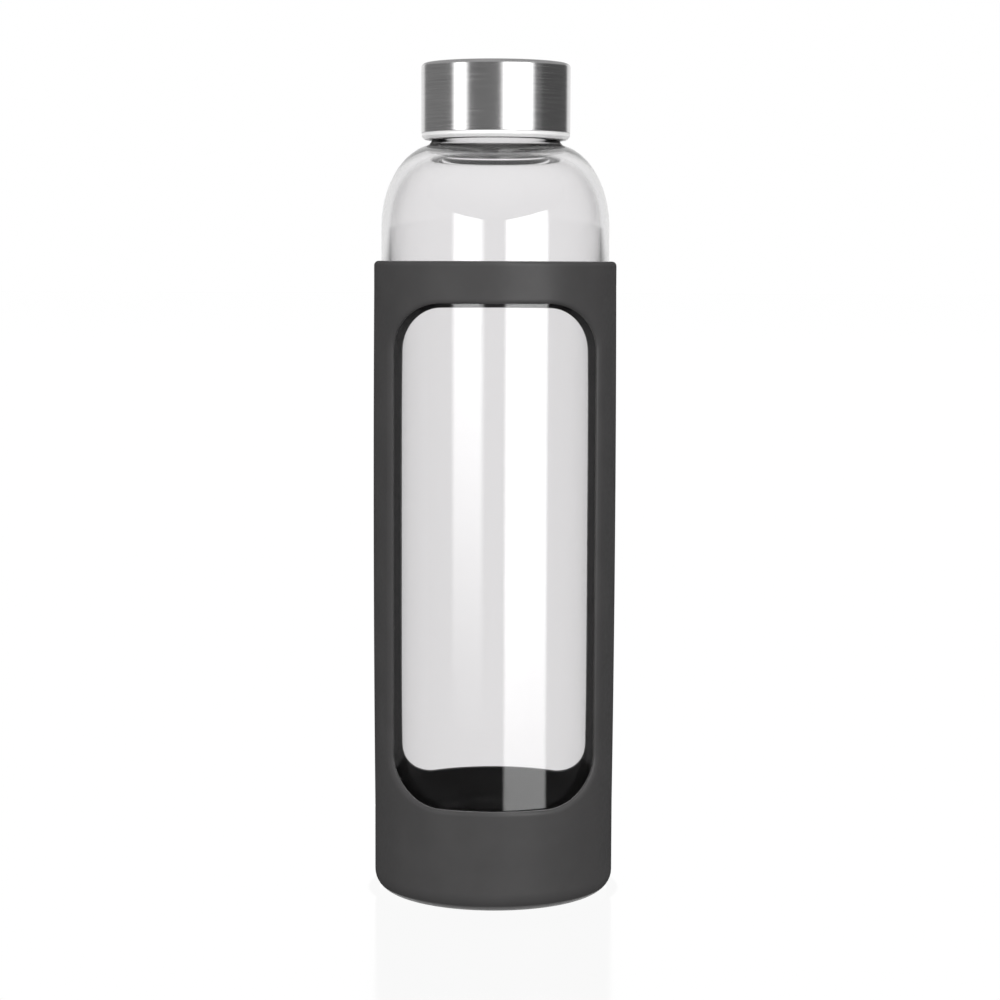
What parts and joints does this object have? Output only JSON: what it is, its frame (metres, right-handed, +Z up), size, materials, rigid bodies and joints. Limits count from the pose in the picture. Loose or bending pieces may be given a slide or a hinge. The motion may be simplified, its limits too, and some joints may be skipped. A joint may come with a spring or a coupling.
{
  "type": "glass water bottle",
  "caption": "Straight-sided glass drinking bottle with an elliptical shoulder, held in a windowed silicone sleeve and closed by a steel-clad screw cap with a seal ring.",
  "frame": {"origin": "centre of the sleeve's underside, on the bottle's axis", "axes": "+Z up along the bottle's axis towards the cap; the sleeve's front window faces -Y"},
  "size_m": [0.0706, 0.0702, 0.2407],
  "materials": {
    "sleeve_silicone": "soft-touch matte",
    "bottle_glass": "clear, polished",
    "cap_steel": "brushed around the axis",
    "insert_plastic": "satin, slightly translucent",
    "seal_silicone": "translucent matte"
  },
  "bodies": {
    "sleeve": {"silicone_sleeve": "sleeve_silicone"},
    "bottle": {"glass_bottle": "bottle_glass"},
    "seal": {"cap_seal_ring": "seal_silicone"},
    "cap": {"cap_steel_shell": "cap_steel", "cap_threaded_insert": "insert_plastic"}
  },
  "joints": [
    {"name": "bottle_slide", "type": "slide", "parent": "sleeve", "child": "bottle", "axis": [0, 0, 1], "range_m": [0, 0.19]},
    {"name": "cap_lift", "type": "slide", "parent": "bottle", "child": "seal", "axis": [0, 0, 1], "range_m": [0, 0.0215]},
    {"name": "cap_turn", "type": "hinge", "parent": "seal", "child": "cap", "pos_m": [0, 0, 0.2407], "axis": [0, 0, 1], "range_deg": [0, 1800]}
  ],
  "couplings": [
    {"joint": "cap_lift", "follows": "cap_turn", "m_per_rad": 0.00066845}
  ]
}
